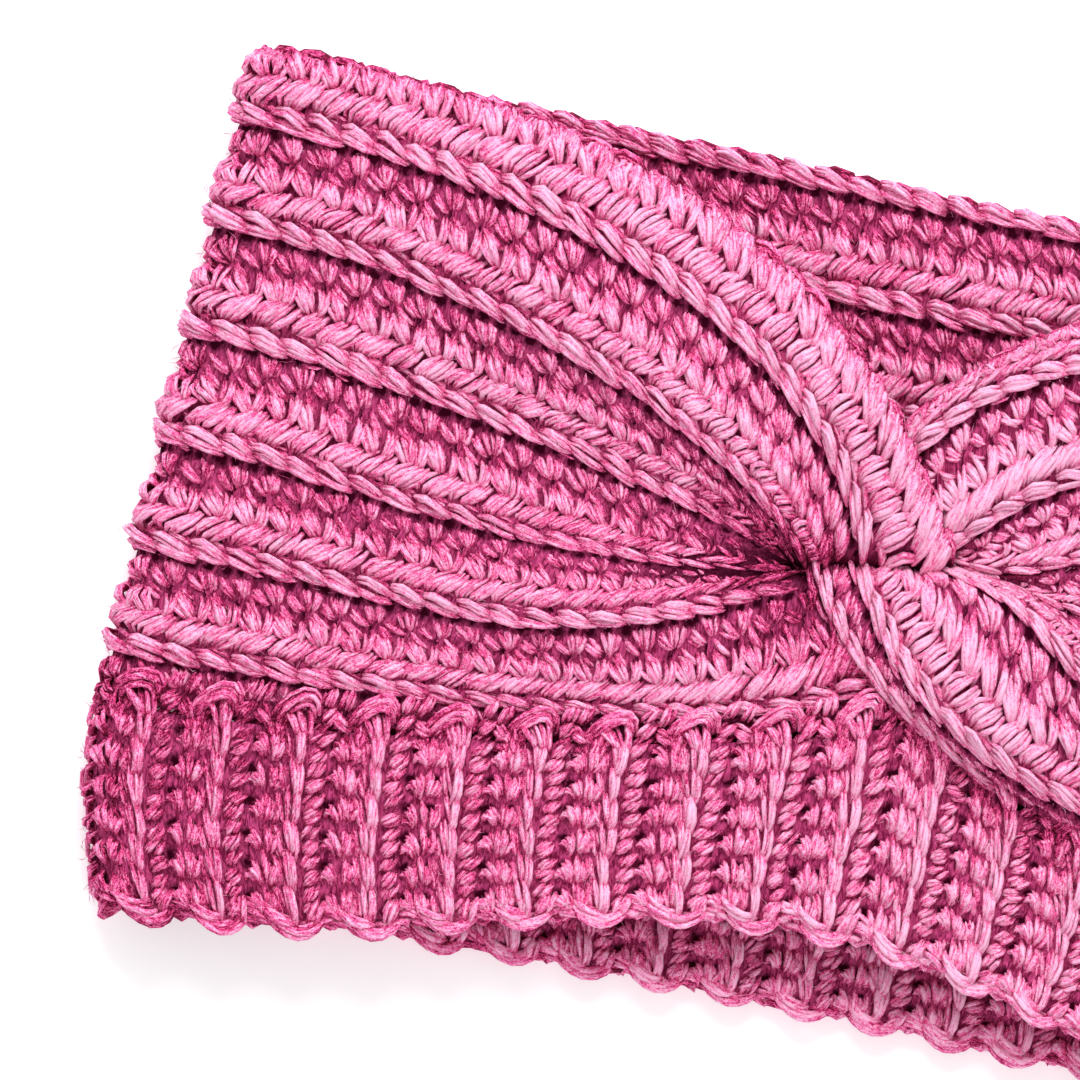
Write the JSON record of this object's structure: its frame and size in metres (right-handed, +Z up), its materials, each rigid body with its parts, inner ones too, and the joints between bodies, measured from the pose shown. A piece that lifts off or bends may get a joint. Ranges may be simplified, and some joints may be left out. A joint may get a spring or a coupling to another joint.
{
  "type": "crochet ear warmer",
  "caption": "Ribbed crochet headband with a folded twist at the front and a ribbed cuff, worn round the head over the ears; shown folded flat and lying on its back.",
  "frame": {"origin": "on the surface that the ear warmer lies on, under the middle of its outline", "axes": "+X along the flattened band, towards the wearer's left; +Y from the cuff up to the top edge; +Z up from the surface, out of the front with the twist"},
  "size_m": [0.2558, 0.153, 0.0257],
  "materials": {
    "yarn": "soft plied yarn, slightly fuzzy, worked in ridged stitches"
  },
  "bodies": {
    "root": {"band": "yarn", "cuff": "yarn"}
  },
  "joints": []
}
